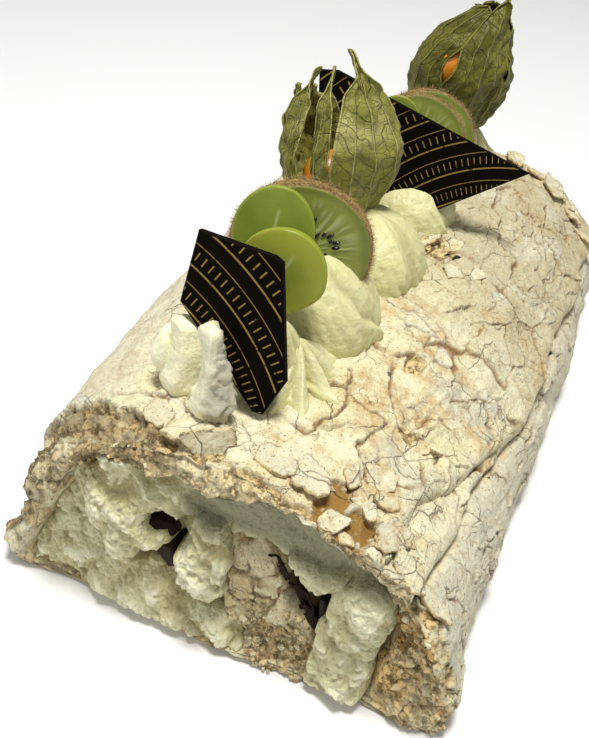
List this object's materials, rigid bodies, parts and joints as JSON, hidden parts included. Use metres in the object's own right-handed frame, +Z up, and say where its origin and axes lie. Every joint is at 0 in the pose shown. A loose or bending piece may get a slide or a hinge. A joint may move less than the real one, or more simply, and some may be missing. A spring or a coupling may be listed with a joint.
{
  "type": "banana roulade",
  "caption": "Rolled meringue cake filled with cream, cut at one end, topped with piped cream, kiwi and grape slices, physalis and chocolate shards.",
  "frame": {"origin": "middle of the flat bottom of the roll", "axes": "+Y runs back along the roll from the cut end, +X to the right seen from the cut end, +Z up"},
  "size_m": [0.159, 0.2661, 0.1406],
  "materials": {
    "meringue": "dry matte crust",
    "cream": "soft satin",
    "piped_cream": "soft satin",
    "chocolate": "satin dark chocolate with gold print",
    "grape": "wet translucent flesh",
    "kiwi": "moist flesh with a fuzzy brown rim",
    "husk": "dry papery leaf with veins",
    "berry": "smooth glossy skin"
  },
  "bodies": {
    "root": {"meringue_roll": "meringue", "cream_filling": "cream", "chocolate_lump": "chocolate", "chocolate_flake": "chocolate", "chocolate_shard_front": "chocolate", "chocolate_shard_back": "chocolate", "cream_swirl_front": "piped_cream", "cream_swirl_front_left": "piped_cream", "cream_swirl_second": "piped_cream", "cream_swirl_third": "piped_cream", "cream_swirl_fourth": "piped_cream", "cream_swirl_back": "piped_cream", "grape_half_upper": "grape", "grape_half_lower": "grape", "grape_half_back": "grape", "kiwi_slice_front": "kiwi", "kiwi_slice_back": "kiwi", "kiwi_slice_rear": "kiwi", "physalis_husk_front": "husk", "physalis_husk_back": "husk", "physalis_berry_front": "berry", "physalis_berry_back": "berry"}
  },
  "joints": []
}
